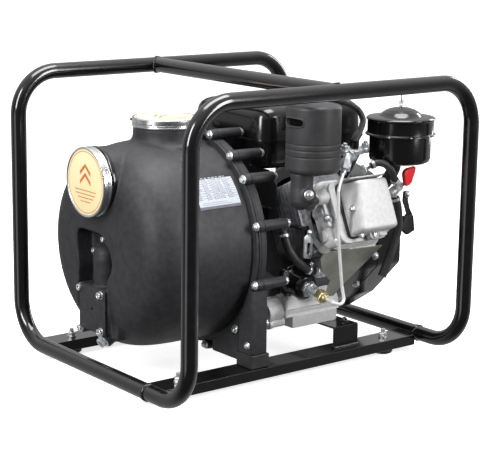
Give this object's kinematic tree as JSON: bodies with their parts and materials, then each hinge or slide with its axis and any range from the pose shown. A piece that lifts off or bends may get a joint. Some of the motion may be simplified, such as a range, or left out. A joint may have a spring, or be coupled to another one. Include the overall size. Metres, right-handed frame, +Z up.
{
  "type": "engine-driven trash pump set",
  "caption": "Self-priming trash pump with a round plastic body, driven by a small air-cooled diesel engine, on channels in a black bent-tube carrying frame.",
  "frame": {"origin": "on the ground under the middle of the tube frame", "axes": "+X from the suction port towards the flywheel, -Y is the cylinder head side, +Z up"},
  "size_m": [0.6616, 0.5662, 0.5443],
  "materials": {
    "black_paint": "semi-gloss black powder coat on steel tube and plate",
    "black_plastic": "charcoal glass-filled plastic with a fine moulded grain",
    "matt_black": "matt dark grey heat-proof paint",
    "gloss_black": "glossy black stove enamel",
    "aluminium": "bare die-cast aluminium",
    "cast_fins": "dark grey painted cast fins",
    "zinc": "bright zinc plate",
    "steel": "polished steel",
    "olive_zinc": "olive-grey coated sheet steel",
    "brass": "machined brass",
    "rubber": "black rubber",
    "iron": "cast iron with a rough skin",
    "red": "red moulded plastic grip"
  },
  "bodies": {
    "root": {"near_hoop": "black_paint", "far_hoop": "black_paint", "top_cross_tube": "black_paint", "near_channel": "black_paint", "far_channel": "black_paint", "front_near_foot": "rubber", "front_far_foot": "rubber", "rear_near_foot": "rubber", "rear_far_foot": "rubber", "engine_bracket": "gloss_black", "near_leg_block": "rubber", "far_leg_block": "rubber", "pump_casing": "black_plastic", "pump_adapter": "black_plastic", "volute": "iron", "wear_plate": "steel", "shaft_seal": "steel", "suction_ring": "steel", "discharge_ring": "steel", "front_plate": "black_plastic", "crankcase": "aluminium", "blower_housing": "gloss_black", "recoil_cover": "gloss_black", "cylinder": "cast_fins", "cylinder_head": "aluminium", "rocker_gasket": "rubber", "rocker_cover": "aluminium", "exhaust_elbow": "matt_black", "muffler": "matt_black", "air_cleaner_bowl": "gloss_black", "air_cleaner_lid": "gloss_black", "intake_pipe": "matt_black", "fuel_tank": "gloss_black", "injection_pump": "gloss_black", "injection_nut": "brass", "injection_pipe": "steel", "injector": "zinc", "return_hose": "rubber", "feed_hose": "rubber", "feed_union": "zinc", "fuel_tap": "zinc", "tap_hose": "rubber", "breather_hose": "rubber", "baffle": "olive_zinc", "cooling_shroud": "black_paint"},
    "rotor": {"crankshaft": "steel", "flywheel": "iron", "impeller": "iron"},
    "piston_assembly": {"piston": "aluminium", "connecting_rod": "steel"},
    "suction_cap_body": {"suction_cap": "steel"},
    "discharge_cap_body": {"discharge_cap": "steel"},
    "valve_flap_body": {"check_valve_flap": "rubber"},
    "tank_cap_body": {"tank_cap": "gloss_black"},
    "drain_plug_body": {"drain_plug": "zinc"},
    "wing_nut_body": {"air_cleaner_wing_nut": "zinc"},
    "fuel_tap_lever_body": {"fuel_tap_lever": "red"},
    "throttle_lever_body": {"throttle_lever": "gloss_black"},
    "stop_lever_body": {"stop_lever": "zinc"},
    "recoil_handle_body": {"recoil_handle": "black_plastic"}
  },
  "joints": [
    {"name": "engine_shaft_spin", "type": "hinge", "parent": "root", "child": "rotor", "pos_m": [0, 0.04, 0.2], "axis": [1, 0, 0], "continuous": true},
    {"name": "piston_stroke", "type": "slide", "parent": "root", "child": "piston_assembly", "axis": [0, -0.9107, 0.4131], "range_m": [-0.025, 0.025]},
    {"name": "suction_cap_pull", "type": "slide", "parent": "root", "child": "suction_cap_body", "axis": [-1, 0, 0], "range_m": [0, 0.06]},
    {"name": "discharge_cap_lift", "type": "slide", "parent": "root", "child": "discharge_cap_body", "axis": [0, 0, 1], "range_m": [0, 0.06]},
    {"name": "valve_flap_swing", "type": "hinge", "parent": "root", "child": "valve_flap_body", "pos_m": [-0.221, 0.04, 0.412], "axis": [0, -1, 0], "range_deg": [0, 22]},
    {"name": "tank_cap_lift", "type": "slide", "parent": "root", "child": "tank_cap_body", "axis": [0, 0, 1], "range_m": [0, 0.04]},
    {"name": "drain_plug_pull", "type": "slide", "parent": "root", "child": "drain_plug_body", "axis": [-0.8601, 0, -0.5101], "range_m": [0, 0.03]},
    {"name": "wing_nut_turn", "type": "hinge", "parent": "root", "child": "wing_nut_body", "pos_m": [0.232, -0.172, 0.49], "axis": [0, 0, 1], "continuous": true},
    {"name": "fuel_tap_turn", "type": "hinge", "parent": "root", "child": "fuel_tap_lever_body", "pos_m": [0.233, -0.192, 0.339], "axis": [0, 1, 0], "range_deg": [0, 90]},
    {"name": "throttle_turn", "type": "hinge", "parent": "root", "child": "throttle_lever_body", "pos_m": [0.262, -0.162, 0.31], "axis": [0, 1, 0], "range_deg": [-25, 20]},
    {"name": "stop_lever_turn", "type": "hinge", "parent": "root", "child": "stop_lever_body", "pos_m": [0.026, -0.157, 0.241], "axis": [0, 1, 0], "range_deg": [0, 25], "stiffness_Nm_per_rad": 0.4},
    {"name": "recoil_pull", "type": "slide", "parent": "root", "child": "recoil_handle_body", "axis": [0, 1, 0], "range_m": [0, 0.5], "stiffness_N_per_m": 60}
  ]
}
